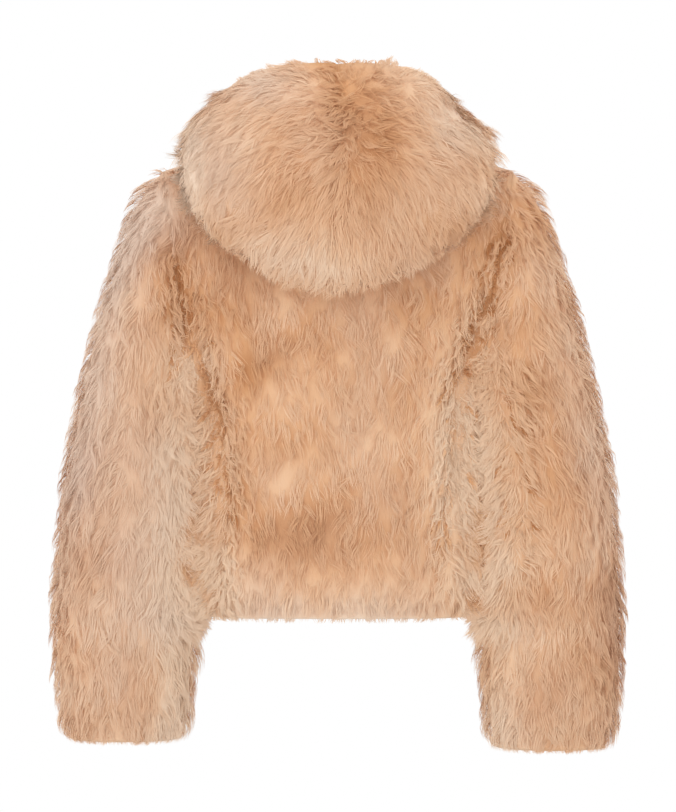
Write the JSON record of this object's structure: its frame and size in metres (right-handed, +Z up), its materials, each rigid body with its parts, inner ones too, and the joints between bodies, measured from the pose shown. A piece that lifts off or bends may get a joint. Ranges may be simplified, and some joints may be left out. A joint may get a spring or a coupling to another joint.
{
  "type": "hooded fur jacket",
  "caption": "Cropped hooded jacket of long soft fur, filled out as worn with no wearer: hood lying back, dropped shoulders, wide straight sleeves, plain rounded hem.",
  "frame": {"origin": "midway between the two neck points of the shoulder seams, where the wearer's shoulders carry the jacket", "axes": "+Z up; the wearer faces -Y, so +Y is the wearer's back with the hood and +X is the wearer's left"},
  "size_m": [0.6142, 0.3338, 0.7123],
  "materials": {
    "fur": "long soft camel fur on a suede skin side"
  },
  "bodies": {
    "root": {"back": "fur", "front_left": "fur", "front_right": "fur", "sleeve_left": "fur", "sleeve_right": "fur", "hood_left": "fur", "hood_right": "fur"}
  },
  "joints": []
}
